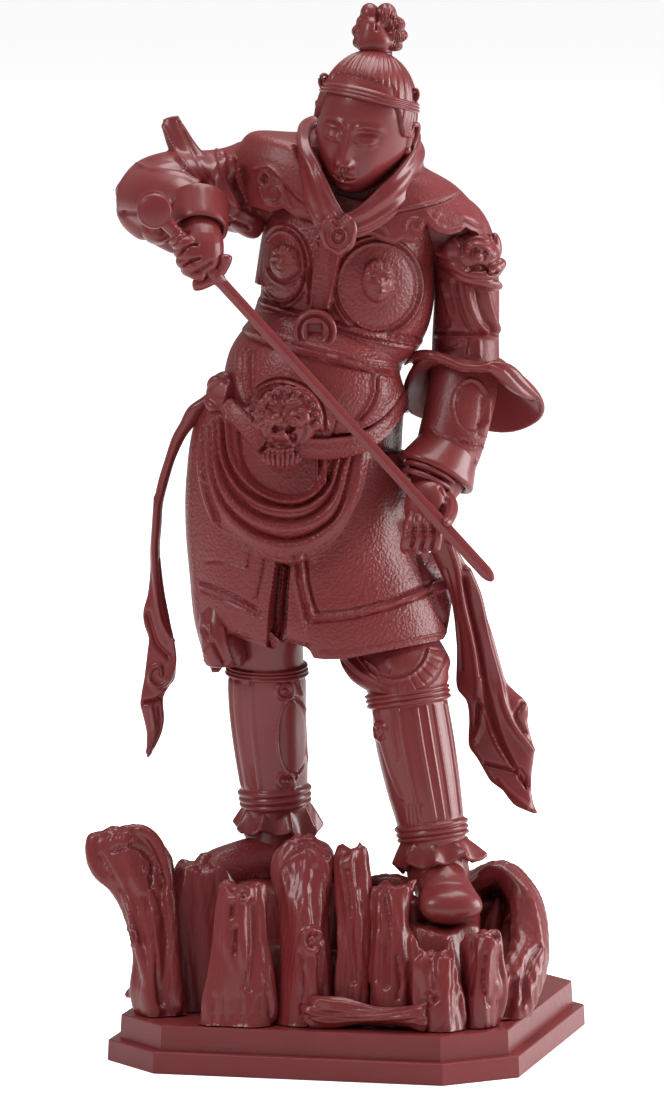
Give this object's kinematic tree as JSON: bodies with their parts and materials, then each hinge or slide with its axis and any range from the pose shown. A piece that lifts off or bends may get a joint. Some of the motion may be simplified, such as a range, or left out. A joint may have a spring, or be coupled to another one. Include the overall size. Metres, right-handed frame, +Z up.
{
  "type": "armoured guardian figure",
  "caption": "Moulded plastic figure of an armoured guardian with a drawn sword, standing on rocky ground on a stepped octagonal plinth.",
  "frame": {"origin": "middle of the plinth's flat underside", "axes": "+Z up through the figure, -Y towards the side the figure faces, +X towards the figure's left hand; the plinth's sides lie along X and Y"},
  "size_m": [0.1017, 0.097, 0.2324],
  "materials": {
    "plinth_plastic": "smooth semi-gloss oxide-red moulded plastic",
    "ground_plastic": "glossy oxide-red moulded plastic with the grain of old wood",
    "figure_plastic": "semi-gloss oxide-red moulded plastic, finely stippled on the armour and cloth",
    "sword_plastic": "smooth semi-gloss oxide-red moulded plastic"
  },
  "bodies": {
    "root": {"plinth": "plinth_plastic", "rock_ground": "ground_plastic", "fallen_log": "ground_plastic", "figure": "figure_plastic", "sword": "sword_plastic"}
  },
  "joints": []
}
